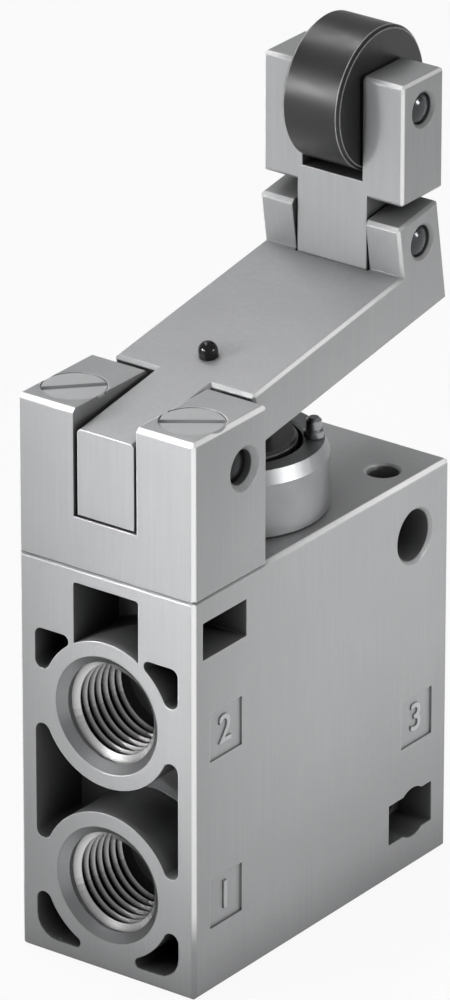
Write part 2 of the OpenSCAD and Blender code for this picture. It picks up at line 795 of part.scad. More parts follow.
// domed end of a round bar of radius r, from its rim to the axis at level l
function dome(r, h, l) = let (s = (r * r + h * h) / (2 * h), a = asin(r / s))
    [for (i = [4:-1:0]) [s * sin(a * i / 4), l - s + s * cos(a * i / 4)]];

// pin across the part with domed ends, reaching l to each side
module cross_pin(l, y, z, r) {
    end = dome(r, pin_dome, l);
    translate([0, y, z])
        rotate([0, 90, 0])
            rotate_extrude()
                polygon(concat(end, [for (i = [len(end) - 1:-1:0]) [end[i][0], -end[i][1]]]));
}

module lever_pin() {
    color("#7d7f81")
        cross_pin(hw - pin_sink, pivot_y, pivot_z, pin_r);
}

// tang profile in depth and height: square nose, relieved heel
module tang_profile() {
    nose_y = y_front + 0.15;
    foot_z = slot_floor + 0.3;
    polygon([[nose_y, foot_z], [pivot_y - 0.4, foot_z], [pivot_y + tang_heel, pivot_z - 0.8],
             [pivot_y + tang_root, pivot_z + 0.6],
             [pivot_y + tang_root, lever_z(pivot_y + tang_root, lever_top, lever_tilt)],
             [nose_y, lever_z(nose_y, lever_top, lever_tilt)]]);
}

// clevis ear profile along the lever, its front edge well broken so the fork can fold over it
module ear_profile() {
    polygon([[ear_v, lever_bot + 1], [lever_l, lever_bot + 1], [lever_l, ear_top],
             [ear_v + ear_relief, ear_top], [ear_v, ear_top - ear_relief]]);
}

module lever() {
    color("#c2c4c6")
        difference() {
            union() {
                on_lever()
                    broken_block([-lever_x, lever_v0, lever_bot], [lever_x, lever_l, lever_top],
                                 lever_break);
                on_lever()
                    intersection() {
                        broken_block([-lever_x, ear_v, lever_bot], [lever_x, lever_l, ear_top],
                                     lever_break);
                        across(-lever_x - 1, lever_x + 1)
                            ear_profile();
                    }
                intersection() {
                    across(-tang_x, tang_x)
                        tang_profile();
                    on_lever()
                        broken_block([-tang_x, -block_d, -block_h], [tang_x, block_d, lever_top],
                                     lever_break);
                }
            }
            // clevis slot, its front wall upright as the fork's stop
            block([-ear_x, trip_y - fork_y - 0.18, pivot_z - 10], [ear_x, trip_y + lever_l, fork_top]);
            on_lever()
                block([-ear_x, ear_v - 1, lever_top], [ear_x, lever_l + 1, ear_top + 1]);
            crossbar(-lever_x, lever_x, pivot_y, pivot_z, pin_r + run_gap);
            crossbar(-lever_x - 1, lever_x + 1, trip_y, trip_z, trip_r);
            mouth_pair(lever_x, trip_y, trip_z, trip_r, hole_break);
            // anchor hole for the trip spring
            crossbar(-ear_x - 2, -ear_x + 1, trip_y - coil_r, trip_z + hook_r, coil_wire_d / 2 + run_gap);
            on_lever()
                translate([0, rivet_v, lever_bot - 1])
                    cylinder(r = rivet_r, h = lever_t + 2);
        }
}

module wear_pad() {
    color("#6f7173")
        on_lever()
            difference() {
                broken_block([-pad_w / 2, pad_v[0], lever_bot - pad_t],
                             [pad_w / 2, pad_v[1], lever_bot], 0.25);
                translate([0, rivet_v, lever_bot - pad_t - 1])
                    cylinder(r = rivet_r, h = pad_t + 2);
            }
}

module pad_rivet() {
    r = rivet_head_d / 2;
    color("#1d1d1e")
        on_lever()
            translate([0, rivet_v, 0]) {
                translate([0, 0, lever_bot - pad_t])
                    cylinder(r = rivet_r, h = lever_t + pad_t + 0.2);
                translate([0, 0, lever_top])
                    cylinder(r = r, h = 0.8);
                translate([0, 0, lever_top + 0.8])
                    sphere(r = r);
            }
}

module trip_pin() {
    color("#8a8c8e")
        cross_pin(lever_x - pin_short, trip_y, trip_z, trip_r);
}

module trip_spring() {
    n = 16 * coil_turns;
    leg = [for (i = [4:-1:1])
        [coil_x + coil_pitch * coil_turns, trip_y + coil_r, trip_z + leg_l * i / 4]];
    coil = [for (i = [0:n]) [coil_x + coil_pitch * (coil_turns - i / 16),
                             trip_y + coil_r * cos(22.5 * i), trip_z - coil_r * sin(22.5 * i)]];
    turn = [for (i = [1:4]) [coil_x - hook_r * (1 - cos(22.5 * i)), trip_y - coil_r,
                             trip_z + hook_r * sin(22.5 * i)]];
    hook = [for (i = [1, 2]) [coil_x - hook_r - hook_l * i / 2, trip_y - coil_r, trip_z + hook_r]];
    color("#9b9d9f")
        wire(concat(leg, coil, turn, hook), coil_wire_d / 2, [0, 1, 0]);
}

// fork side profile below the shoulders: flat front with a heel, round at the back
module tongue_profile() {
    translate([-fork_y, -heel_l])
        square([fork_y, heel_l + shoulder_rise + 1]);
    translate([-fork_y, 0])
        square([2 * fork_y, shoulder_rise + 1]);
    circle(r = fork_y);
}

module roller_fork() {
    color("#c2c4c6")
        difference() {
            union() {
                broken_block([-lever_x, trip_y - fork_y, shoulder_z],
                             [lever_x, trip_y + fork_y, fork_top], lever_break);
                translate([0, trip_y, trip_z])
                    across(-tongue_x, tongue_x)
                        tongue_profile();
            }
            block([-fork_slot_x, trip_y - fork_y - 1, fork_floor],
                  [fork_slot_x, trip_y + fork_y + 1, fork_top + 1]);
            crossbar(-lever_x - 1, lever_x + 1, trip_y, roller_z, roller_pin_r);
            mouth_pair(lever_x, trip_y, roller_z, roller_pin_r, hole_break);
            crossbar(-tongue_x - 1, tongue_x + 1, trip_y, trip_z, trip_r + run_gap);
            // pocket for the trip spring with a groove for its upper leg
            crossbar(-tongue_x - 1, coil_x + coil_pitch * coil_turns + 0.45, trip_y, trip_z, coil_pocket_r);
            block([-tongue_x - 1, trip_y + coil_r - 0.5, trip_z],
                  [coil_x + coil_pitch * coil_turns + 0.45, trip_y + coil_r + 0.5, trip_z + 4.8]);
        }
}

module roller_pin() {
    color("#8a8c8e")
        cross_pin(lever_x - pin_short, trip_y, roller_z, roller_pin_r);
}

module roller() {
    h = roller_w / 2;
    b = roller_pin_r + run_gap;
    color("#3a3b3c")
        translate([0, trip_y, roller_z])
            rotate([0, 90, 0])
                rotate_extrude($fn = 96)
                    polygon([[b, -h], [roller_r - roller_rim, -h], [roller_r, -h + roller_rim],
                             [roller_r, h - roller_rim], [roller_r - roller_rim, h], [b, h]]);
}

module plunger_head() {
    color("#2b2c2d")
        difference() {
            union() {
                rotate_extrude($fn = 96)
                    polygon([[0, head_z], [head_r - 0.3, head_z], [head_r, head_z + 0.3],
                             [head_r, head_top - 0.4], [head_r - 0.4, head_top], [0, head_top]]);
                intersection() {
                    translate([0, 0, head_z])
                        cylinder(r = nose_r, h = nose_top - head_z + 1);
                    translate([0, 0, nose_top - dome_r])
                        sphere(r = dome_r);
                }
                translate([0, 0, head_z])
                    cylinder(r = nose_r, h = nose_top - head_z - 2);
            }
            translate([0, 0, head_z - 1])
                cylinder(r = stem_r, h = stem_top - head_z + 1);
        }
}

module plunger_stem() {
    color("#b8babc")
        difference() {
            rotate_extrude()
                polygon([[hollow_r, tip_z], [tip_r - 0.6, tip_z], [tip_r, tip_z + 0.6],
                         [tip_r, tip_z + tip_l], [stem_r, tip_z + tip_l + 0.8], [stem_r, clip_z - run_gap],
                         [clip_r, clip_z - run_gap], [clip_r, clip_z + clip_t + run_gap],
                         [stem_r, clip_z + clip_t + run_gap], [stem_r, stem_top], [0, stem_top],
                         [0, vent_z + 2.4], [hollow_r, vent_z + 2.4]]);
            translate([0, 0, vent_z + 0.4])
                rotate([0, 90, 0])
                    cylinder(r = 1.2, h = 2 * stem_r + 2, center = true);
        }
}

module stem_clip() {
    color("#77797b")
        translate([0, 0, clip_z])
            difference() {
                cylinder(r = stem_r + 1.5, h = clip_t);
                translate([0, 0, -1])
                    cylinder(r = clip_r + seat_gap, h = clip_t + 2);
                translate([-clip_r + 0.6, 0, -1])
                    cube([2 * clip_r - 1.2, stem_r + 3, clip_t + 2]);
            }
}

module plunger_spring() {
    r = plunger_wire_d / 2;
    color("#9b9d9f")
        wire(coil_path(spring_r - r - spring_play, spring_z + r, head_z - r, 6, plunger_wire_d), r,
             [1, 0, 0]);
}

module poppet() {
    color("#c6a35a")
        rotate_extrude()
            polygon([[0, guide_pin_z], [guide_pin_r - 0.3, guide_pin_z], [guide_pin_r, guide_pin_z + 0.3],
                     [guide_pin_r, poppet_z], [poppet_r, poppet_z], [poppet_r, seat_z - poppet_rim],
                     [poppet_seal_r, seat_z - poppet_rim], [poppet_seal_r, poppet_z + poppet_t],
                     [0, poppet_z + poppet_t]]);
}

module poppet_seal() {
    color("#242424")
        translate([0, 0, poppet_z + poppet_t])
            cylinder(r = poppet_seal_r - seat_gap, h = poppet_seal_t - 0.02);
}

module poppet_spring() {
    r = poppet_wire_d / 2;
    color("#9b9d9f")
        wire(coil_path(guide_pin_r + poppet_coil_gap, plug_l + r, poppet_z - r, 4, poppet_wire_d), r,
             [1, 0, 0]);
}

valve_body();
guide_bush();
bush_seals();
stem_seals();
valve_seat();
seat_seal();
closing_plug();
plug_seal();
gallery_balls();
bearing_block();
block_screws();
lever_pin();
stop_pegs();
lever();
wear_pad();
pad_rivet();
trip_pin();
trip_spring();
roller_fork();
roller_pin();
roller();
plunger_head();
plunger_stem();
stem_clip();
plunger_spring();
poppet();
poppet_seal();
poppet_spring();
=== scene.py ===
# %% [markdown]
# # A roller lever air valve
#
# The valve is a small cast block with three threaded ports. A sloping lever sits on a slotted
# bearing block, and a fork at its far end carries a black roller. The solids come packed as a
# fixed frame, so this lesson adds what solids leave out: finishes, smooth copies of the springs,
# port threads, raised port numbers, soft light and the camera.

# %% Load the frame
import json
import math

import bmesh
import bpy
from mathutils import Matrix, Vector


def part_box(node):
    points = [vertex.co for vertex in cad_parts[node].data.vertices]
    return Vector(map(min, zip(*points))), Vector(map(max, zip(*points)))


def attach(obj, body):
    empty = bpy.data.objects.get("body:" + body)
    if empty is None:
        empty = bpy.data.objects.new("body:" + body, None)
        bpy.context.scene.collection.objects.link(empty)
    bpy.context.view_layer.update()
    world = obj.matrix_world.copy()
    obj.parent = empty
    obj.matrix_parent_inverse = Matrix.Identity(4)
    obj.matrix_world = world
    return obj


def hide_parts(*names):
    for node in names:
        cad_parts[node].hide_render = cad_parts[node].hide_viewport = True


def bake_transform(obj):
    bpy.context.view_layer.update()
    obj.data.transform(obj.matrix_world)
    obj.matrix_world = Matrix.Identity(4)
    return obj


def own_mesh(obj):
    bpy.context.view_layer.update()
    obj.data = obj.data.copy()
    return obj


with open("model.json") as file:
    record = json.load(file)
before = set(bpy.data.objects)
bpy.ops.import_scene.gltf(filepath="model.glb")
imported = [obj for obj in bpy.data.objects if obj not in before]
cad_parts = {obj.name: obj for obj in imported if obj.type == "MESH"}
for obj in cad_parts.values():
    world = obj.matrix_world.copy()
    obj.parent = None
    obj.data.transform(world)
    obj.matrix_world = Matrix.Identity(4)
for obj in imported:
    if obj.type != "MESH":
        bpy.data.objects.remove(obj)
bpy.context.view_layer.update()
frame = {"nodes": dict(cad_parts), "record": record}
MM = 0.001

# %% [markdown]
# ## Small helpers
#
# Colours are picked the way a paint chart gives them, as sRGB hex values, while shader sockets
# expect linear light, so one function converts them. One more function adds a shader node with
# its settings and links, which keeps each material readable as a short list, and two short ones
# open and close a material. The last one turns a drawn shape into an object: it points the faces
# outwards, smooths round shapes up to an angle, and hands over the material.

# %% Colour, node and mesh helpers
SMOOTH_ANGLE = math.radians(60)


def linear(hex_colour):
    """Turn an sRGB hex colour into linear RGBA."""
    channels = [int(hex_colour[i:i + 2], 16) / 255 for i in (1, 3, 5)]
    return [c / 12.92 if c <= 0.04045 else ((c + 0.055) / 1.055) ** 2.4 for c in channels] + [1.0]


def add(tree, kind, links=None, settings=None, **values):
    """Add a shader node: settings are its options, values its sockets, links its inputs."""
    node = tree.nodes.new("ShaderNode" + kind)
    for option, value in (settings or {}).items():
        setattr(node, option, value)
    for socket, value in values.items():
        node.inputs[socket.replace("_", " ")].default_value = value
    for socket, source in (links or {}).items():
        tree.links.new(source, node.inputs[socket])
    return node


def start_material(name):
    """A new material and its empty node tree, ready for a shader."""
    material = bpy.data.materials.new(name)
    material.use_nodes = True
    material.node_tree.nodes.clear()
    return material, material.node_tree


def close_material(tree, shader):
    """Lead the shader to the material's output."""
    output = add(tree, "OutputMaterial")
    tree.links.new(shader.outputs[0], output.inputs["Surface"])


def shape_object(bm, name, material, smooth):
    """Turn a bmesh into a linked object with outward faces and one material."""
    bmesh.ops.recalc_face_normals(bm, faces=bm.faces)
    mesh = bpy.data.meshes.new(name)
    bm.to_mesh(mesh)
    bm.free()
    for face in mesh.polygons:
        face.use_smooth = smooth
    if smooth:
        mesh.set_sharp_from_angle(angle=SMOOTH_ANGLE)
    mesh.materials.append(material)
    shape = bpy.data.objects.new(name, mesh)
    bpy.context.collection.objects.link(shape)
    return shape


# %% [markdown]
# ## Masks for painted highlights
#
# Edges get a painted highlight, lighter than the faces beside them. A mask for that could be
# painted, but the shape itself already knows its edges: the Bevel node rounds the normal close to
# edges. On turned parts the true and the rounded normal are compared. On boxy castings it is
# enough to ask where the rounded normal looks between two main directions of the part.

# %% Masks of edges for painted highlights
def turned_edges(tree, radius_mm):
    """Mask that is 1 on sharp edges of a turned part, and the rounded normal."""
    soft = add(tree, "Bevel", settings={"samples": 6}, Radius=radius_mm * MM)
    flat = add(tree, "NewGeometry")
    bend = add(tree, "VectorMath", {0: soft.outputs["Normal"], 1: flat.outputs["Normal"]},
               {"operation": "DOT_PRODUCT"})
    mask = add(tree, "MapRange", {"Value": bend.outputs["Value"]}, From_Min=0.99, From_Max=0.93)
    return mask.outputs["Result"], soft.outputs["Normal"]


def boxy_edges(tree, radius_mm):
    """Mask that is 1 along the edges of a boxy casting, and the rounded normal."""
    soft = add(tree, "Bevel", settings={"samples": 6}, Radius=radius_mm * MM)
    own = add(tree, "VectorTransform", {"Vector": soft.outputs["Normal"]},
              {"vector_type": "NORMAL", "convert_from": "WORLD", "convert_to": "OBJECT"})
    size = add(tree, "VectorMath", {0: own.outputs["Vector"]}, {"operation": "ABSOLUTE"})
    parts = add(tree, "SeparateXYZ", {"Vector": size.outputs["Vector"]})
    across = add(tree, "Math", {0: parts.outputs["X"], 1: parts.outputs["Y"]},
                 {"operation": "MAXIMUM"})
    most = add(tree, "Math", {0: across.outputs["Value"], 1: parts.outputs["Z"]},
               {"operation": "MAXIMUM"})
    mask = add(tree, "MapRange", {"Value": most.outputs["Value"]}, From_Min=0.93, From_Max=0.74)
    return mask.outputs["Result"], soft.outputs["Normal"]


# %% [markdown]
# ## Cast aluminium
#
# The body, the block, the lever and the fork are pressure die castings in aluminium, tumbled
# after casting. Tumbling leaves a satin grey skin with a fine grain. Open edges get a painted
# highlight, almost white, and pockets, gaps between parts and the base get painted shade, near
# black in the deepest pockets. The mask of edges from above finds the edges, and Ambient
# Occlusion tells open edges from sheltered ones. It also paints the shade, where a power below
# one keeps the mouths of the pockets light and only the depths dark.

# %% Die-cast aluminium, tumbled
GRAIN_MM = 0.35
CLOUD_MM = 9.0
STREAK_MM = (0.5, 0.5, 14.0)
EDGE_MM = 0.25
RECESS_MM = 12.0
RECESS_FADE = 0.7
PIT_DEPTH_MM = 0.05
EXPOSED_FROM, EXPOSED_TO = 0.88, 0.99
OPEN_FROM, OPEN_TO = 0.06, 0.86
METAL_SHARE = 0.4


def cast_aluminium(name, skin, shade, edge_highlight, recess_shade, roughness):
    """Tumbled casting: satin skin, painted highlights on edges, painted shade in recesses."""
    material, tree = start_material(name)
    place = add(tree, "TexCoord").outputs["Object"]
    clouds = add(tree, "TexNoise", {"Vector": place}, Scale=1 / (CLOUD_MM * MM), Detail=3.0)
    grain = add(tree, "TexNoise", {"Vector": place}, Scale=1 / (GRAIN_MM * MM), Detail=4.0,
                Roughness=0.65)
    along = add(tree, "Mapping", {"Vector": place}, Scale=[1 / (s * MM) for s in STREAK_MM])
    streaks = add(tree, "TexNoise", {"Vector": along.outputs["Vector"]}, Scale=1.0, Detail=2.0)
    mottle = add(tree, "MixRGB", {"Fac": clouds.outputs["Fac"]}, Color1=linear(shade),
                 Color2=linear(skin))
    brushed = add(tree, "MixRGB", {"Fac": streaks.outputs["Fac"],
                                   "Color1": mottle.outputs["Color"]}, Color2=linear(shade))
    edges, soft_normal = boxy_edges(tree, EDGE_MM)
    shelter = add(tree, "AmbientOcclusion", settings={"samples": 16}, Distance=RECESS_MM * MM)
    exposed = add(tree, "MapRange", {"Value": shelter.outputs["AO"]}, From_Min=EXPOSED_FROM,
                  From_Max=EXPOSED_TO)
    open_air = add(tree, "MapRange", {"Value": shelter.outputs["AO"]}, From_Min=OPEN_FROM,
                   From_Max=OPEN_TO)
    half_open = add(tree, "Math", {0: open_air.outputs["Result"]}, {"operation": "POWER"})
    half_open.inputs[1].default_value = RECESS_FADE
    # Painted highlight: open edges take the light colour given for the edges.
    highlight_mask = add(tree, "Math", {0: edges, 1: exposed.outputs["Result"]},
                 {"operation": "MULTIPLY"})
    highlighted = add(tree, "MixRGB", {"Fac": highlight_mask.outputs["Value"],
                                    "Color1": brushed.outputs["Color"]}, Color2=linear(edge_highlight))
    # Painted shade: sheltered places, such as pockets, gaps between parts and the base, fade to the
    # dark colour.
    colour = add(tree, "MixRGB", {"Fac": half_open.outputs["Value"],
                                  "Color2": highlighted.outputs["Color"]}, Color1=linear(recess_shade))
    satin = add(tree, "MapRange", {"Value": grain.outputs["Fac"]}, From_Min=0.3, From_Max=0.7,
                To_Min=roughness - 0.05, To_Max=roughness + 0.07)
    pits = add(tree, "Bump", {"Height": grain.outputs["Fac"], "Normal": soft_normal},
               Strength=0.10, Distance=PIT_DEPTH_MM * MM)
    shader = add(tree, "BsdfPrincipled", {"Base Color": colour.outputs["Color"],
                                          "Roughness": satin.outputs["Result"],
                                          "Normal": pits.outputs["Normal"]},
                 Metallic=METAL_SHARE)
    close_material(tree, shader)
    return material


# The third colour of each casting is its painted highlight on edges, the fourth its painted shade.
body_casting = cast_aluminium("tumbled_aluminium_body", "#B0B1B2", "#A0A1A2", "#FAFAFA",
                              "#1A1A1B", 0.46)
lever_casting = cast_aluminium("tumbled_aluminium_lever", "#ACADAE", "#9A9B9C", "#FAFAFA",
                               "#1A1A1B", 0.42)
number_casting = cast_aluminium("rubbed_aluminium_numbers", "#C6C7C8", "#B8B9BA", "#D8D8D8",
                                "#404041", 0.44)
print("castings:", body_casting.name, lever_casting.name, number_casting.name)

# %% [markdown]
# ## Turned and ground metal
#
# Turning and grinding leave fine rings around the axis of a part. One Wave texture draws them all:
# its bands follow each other along Z on the bush and the plug, along X on the cross pins and along
# Y on the cones of the ports. The real feed marks are about 0.1 mm apart, drawn at 0.3 mm here so
# that they show.

# %% Turned metal
FEED_MM = 0.3
WAVES_PER_UNIT = 3.18
WIPE_MM = 4.0
RING_DEPTH_MM = 0.02


def turned_metal(name, colour, dark, roughness, axis, ring_strength=0.12):
    """Bare metal with fine rings that follow each other along an axis."""
    material, tree = start_material(name)
    place = add(tree, "TexCoord").outputs["Object"]
    rings = add(tree, "TexWave", {"Vector": place},
                {"wave_type": "BANDS", "bands_direction": axis, "wave_profile": "SIN"},
                Scale=1 / (FEED_MM * MM) / WAVES_PER_UNIT, Distortion=0.4, Detail=2.0)
    wipe = add(tree, "TexNoise", {"Vector": place}, Scale=1 / (WIPE_MM * MM), Detail=2.0)
    tone = add(tree, "MixRGB", {"Fac": wipe.outputs["Fac"]}, Color1=linear(dark),
               Color2=linear(colour))
    marks = add(tree, "Bump", {"Height": rings.outputs["Fac"]}, Strength=ring_strength,
                Distance=RING_DEPTH_MM * MM)
    shader = add(tree, "BsdfPrincipled", {"Base Color": tone.outputs["Color"],
                                          "Normal": marks.outputs["Normal"]},
                 Metallic=1.0, Roughness=roughness)
    close_material(tree, shader)
    return material


bush_metal = turned_metal("turned_aluminium_bush", "#9A9B9C", "#868788", 0.46, "Z")
brass = turned_metal("turned_brass", "#C9A45C", "#B08B45", 0.28, "Z")
pin_metal = turned_metal("ground_steel_pins", "#4E5052", "#3E4042", 0.14, "X", 0.04)
# The lever pin, sunk in its hole, gets a darker steel than the other pins.
sunk_pin_metal = turned_metal("dark_steel_lever_pin", "#38393A", "#2A2B2C", 0.3, "X")
peg_metal = turned_metal("turned_steel_pegs", "#9C9EA0", "#86888A", 0.3, "Z")
stem_metal = turned_metal("polished_steel_stem", "#BFC1C3", "#AEB0B2", 0.18, "Z")
pad_metal = turned_metal("hardened_steel_pad", "#5A5C5E", "#484A4C", 0.35, "X")
screw_metal = turned_metal("zinc_plated_screws", "#D6D7D8", "#C4C5C6", 0.45, "X")
wire_metal = turned_metal("drawn_spring_wire", "#8C8E90", "#75777A", 0.3, "Z")
lead_in_metal = turned_metal("countersunk_aluminium", "#9A9B9C", "#868788", 0.4, "Y")
for metal in (bush_metal, brass, pin_metal, sunk_pin_metal, peg_metal, stem_metal, pad_metal,
              screw_metal, wire_metal, lead_in_metal):
    print("turned metal:", metal.name)

# %% [markdown]
# ## Cut threads
#
# A tap leaves bright torn metal on the crests of a thread. The roots get painted shade, black:
# Ambient Occlusion with a reach of about one pitch sees the difference, as crests stand in the
# open and roots are sheltered.

# %% Tapped thread
ROOT_MM = 1.3
TEAR_MM = 0.3
TEAR_DEPTH_MM = 0.03


def tapped_thread(name, crest, root_shade, roughness):
    """Torn bright crests over roots with painted black shade."""
    material, tree = start_material(name)
    place = add(tree, "TexCoord").outputs["Object"]
    shelter = add(tree, "AmbientOcclusion", settings={"samples": 8}, Distance=ROOT_MM * MM)
    height = add(tree, "MapRange", {"Value": shelter.outputs["AO"]}, From_Min=0.55, From_Max=0.95)
    # Painted shade: sheltered roots fade to the black colour given for them.
    colour = add(tree, "MixRGB", {"Fac": height.outputs["Result"]}, Color1=linear(root_shade),
                 Color2=linear(crest))
    tears = add(tree, "TexNoise", {"Vector": place}, Scale=1 / (TEAR_MM * MM), Detail=3.0)
    torn = add(tree, "Bump", {"Height": tears.outputs["Fac"]}, Strength=0.15,
               Distance=TEAR_DEPTH_MM * MM)
    shader = add(tree, "BsdfPrincipled", {"Base Color": colour.outputs["Color"],
                                          "Normal": torn.outputs["Normal"]},
                 Metallic=0.9, Roughness=roughness)
    close_material(tree, shader)
    return material


thread_metal = tapped_thread("tapped_aluminium_thread", "#D0D0D0", "#040404", 0.26)
print("thread:", thread_metal.name)

# %% [markdown]
# ## Plastic and rubber
#
# The roller and the plunger head are moulded black plastics, the seals are nitrile rubber, and
# the rivet has a black oxide skin. All are dark, so what tells them apart is gloss: the roller
# has a worn satin tread, the rubber is dull, the oxide is hard and shiny. Their sharp rims get a
# painted highlight, brightest on the roller.

# %% Moulded plastic and rubber
RIM_MM = 0.2
SCUFF_MM = 3.5
GRAIN_DEPTH_MM = 0.04


def dark_skin(name, colour, worn, rim_highlight, roughness, spread, grain_mm, metallic=0.0):
    """Dark scuffed surface with a fine grain and painted highlights on its rims."""
    material, tree = start_material(name)
    place = add(tree, "TexCoord").outputs["Object"]
    grain = add(tree, "TexNoise", {"Vector": place}, Scale=1 / (grain_mm * MM), Detail=5.0)
    scuff = add(tree, "TexNoise", {"Vector": place}, Scale=1 / (SCUFF_MM * MM), Detail=4.0,
                Distortion=0.6)
    tone = add(tree, "MixRGB", {"Fac": scuff.outputs["Fac"]}, Color1=linear(colour),
               Color2=linear(worn))
    sharp, soft_normal = turned_edges(tree, RIM_MM)
    # Painted highlight: sharp rims are mixed towards the light colour given for them.
    rim_highlighted = add(tree, "MixRGB", {"Fac": sharp, "Color1": tone.outputs["Color"]},
                  Color2=linear(rim_highlight))
    gloss = add(tree, "MapRange", {"Value": scuff.outputs["Fac"]}, From_Min=0.3, From_Max=0.7,
                To_Min=roughness - spread, To_Max=roughness + spread)
    skin = add(tree, "Bump", {"Height": grain.outputs["Fac"], "Normal": soft_normal},
               Strength=0.12, Distance=GRAIN_DEPTH_MM * MM)
    shader = add(tree, "BsdfPrincipled", {"Base Color": rim_highlighted.outputs["Color"],
                                          "Roughness": gloss.outputs["Result"],
                                          "Normal": skin.outputs["Normal"]},
                 Metallic=metallic)
    close_material(tree, shader)
    return material


# The third colour of each is its painted highlight on the rims.
roller_plastic = dark_skin("moulded_nylon_roller", "#161617", "#202021", "#E8E8E8",
                           0.38, 0.05, 0.3)
plunger_plastic = dark_skin("moulded_acetal_plunger", "#1E1E1F", "#272728", "#6A6A6B",
                            0.32, 0.05, 0.3)
seal_rubber = dark_skin("nitrile_rubber", "#1B1B1C", "#262627", "#2A2A2B", 0.6, 0.06, 0.2)
black_oxide = dark_skin("black_oxide_rivet", "#0C0C0D", "#161617", "#3A3A3B",
                        0.15, 0.03, 0.2, 0.4)
print("dark skins:", roller_plastic.name, plunger_plastic.name, seal_rubber.name,
      black_oxide.name)

# %% [markdown]
# ## Finishes on the solids
#
# Every solid keeps its shape and only gets a finish. A table from node to material does it in a
# loop, so the choice for each part of the valve can be read in one place. The three springs are
# missing from it, because they come next and need more than a finish.

# %% Assign the finishes
FINISHES = {
    "valve_body": body_casting, "bearing_block": lever_casting, "lever": lever_casting,
    "roller_fork": lever_casting, "guide_bush": bush_metal, "closing_plug": bush_metal,
    "valve_seat": brass, "poppet": brass, "bush_seals": seal_rubber, "stem_seals": seal_rubber,
    "seat_seal": seal_rubber, "plug_seal": seal_rubber, "poppet_seal": seal_rubber,
    "gallery_balls": stem_metal, "plunger_stem": stem_metal, "block_screws": screw_metal,
    "lever_pin": sunk_pin_metal, "trip_pin": pin_metal, "roller_pin": pin_metal,
    "stop_pegs": peg_metal, "wear_pad": pad_metal, "stem_clip": pad_metal,
    "pad_rivet": black_oxide, "roller": roller_plastic, "plunger_head": plunger_plastic,
}
for node, material in FINISHES.items():
    solid = frame["nodes"][node]
    for place in solid.material_slots:
        place.material = material
print("finished nodes:", len(FINISHES))

# %% [markdown]
# ## Spring copies
#
# A spring is wire wound on a mandrel, and it changes shape whenever the lever moves, which a
# solid can't do. Each spring is shown by a merged, smooth copy of its solid, and the solid is
# hidden. The two straight springs go with the housing, and for the hinge spring the span between
# its leg and its hook is measured along its axis.

# %% Copy the springs
WELD = 0.001 * MM
HINGE_WIRE = 0.6 * MM
HOOK_LENGTH = 2.1 * MM
PUSHED_BY = {"plunger_spring": "plunger_slide", "poppet_spring": "poppet_slide"}


def spring_copy(node):
    """A smooth copy of a spring's solid, shown in its place."""
    bm = bmesh.new()
    bm.from_mesh(frame["nodes"][node].data)
    bmesh.ops.remove_doubles(bm, verts=bm.verts, dist=WELD)
    spring = shape_object(bm, node + "_wire", wire_metal, smooth=True)
    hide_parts(node)
    return spring


for node, joint in PUSHED_BY.items():
    spring = spring_copy(node)
    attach(spring, "housing")
    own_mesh(spring)

hinge_low, hinge_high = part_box("trip_spring")
hinge_spring = spring_copy("trip_spring")
leg_side = hinge_high.copy()
leg_side.x -= HINGE_WIRE
hook_side = leg_side.copy()
hook_side.x = hinge_low.x + HOOK_LENGTH
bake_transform(hinge_spring)
print(hinge_spring.name, "twists over", round((leg_side.x - hook_side.x) / MM, 2), "mm")

# %% [markdown]
# ## Port threads
#
# A pipe thread is one ridge wound along the bore. A spin with a step along its axis is exactly
# that: a ridge profile is turned about the port axis while it moves inwards. Quarter inch pipe
# thread has 19 turns to the inch, which makes the pitch 1.337 mm, and its ridges are 0.86 mm high.
# The cone at the mouth is cut with a countersink before tapping, so it is bare turned metal: a
# full spin of a small wedge covers it.

# %% Wind the thread ridges and ring the mouths
PORT_R = 6.58 * MM
LEAD_IN = 0.85 * MM
THREAD_PITCH = 1.337 * MM
THREAD_HEIGHT = 0.86 * MM
THREAD_DEPTH = 12.4 * MM
RIDGE = ((0.04, 0.0), (0.46, 1.0), (0.54, 1.0), (0.96, 0.0))
RIDGE_ROOT = 0.02 * MM
MOUTH_R = 7.6 * MM
MOUTH_STEP = 0.03 * MM
COVER = 0.09 * MM
WEDGE = 0.8 * MM
STEPS_PER_TURN = 48
SIDE = Vector((0, 0, 1))
port_mounts = {m["name"]: m for m in frame["record"]["mounts"] if m["name"].startswith("port_")}


def port_thread(name, mouth, inward):
    """Helical ridge from the mouth of a port along its inward direction."""
    turns = math.floor((THREAD_DEPTH - LEAD_IN - THREAD_PITCH) / THREAD_PITCH)
    start = mouth + inward * LEAD_IN
    bm = bmesh.new()
    ridge = [bm.verts.new(start + inward * (THREAD_PITCH * along)
                          + SIDE * (PORT_R + RIDGE_ROOT - THREAD_HEIGHT * height))
             for along, height in RIDGE]
    edges = [bm.edges.new((a, b)) for a, b in zip(ridge, ridge[1:] + ridge[:1])]
    bmesh.ops.spin(bm, geom=ridge + edges, cent=mouth, axis=inward,
                   dvec=inward * (THREAD_PITCH / STEPS_PER_TURN),
                   angle=2 * math.pi * turns, steps=turns * STEPS_PER_TURN, use_merge=False)
    bmesh.ops.holes_fill(bm, edges=[e for e in bm.edges if e.is_boundary], sides=len(RIDGE))
    thread = shape_object(bm, name, thread_metal, smooth=False)
    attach(thread, "housing")
    return thread


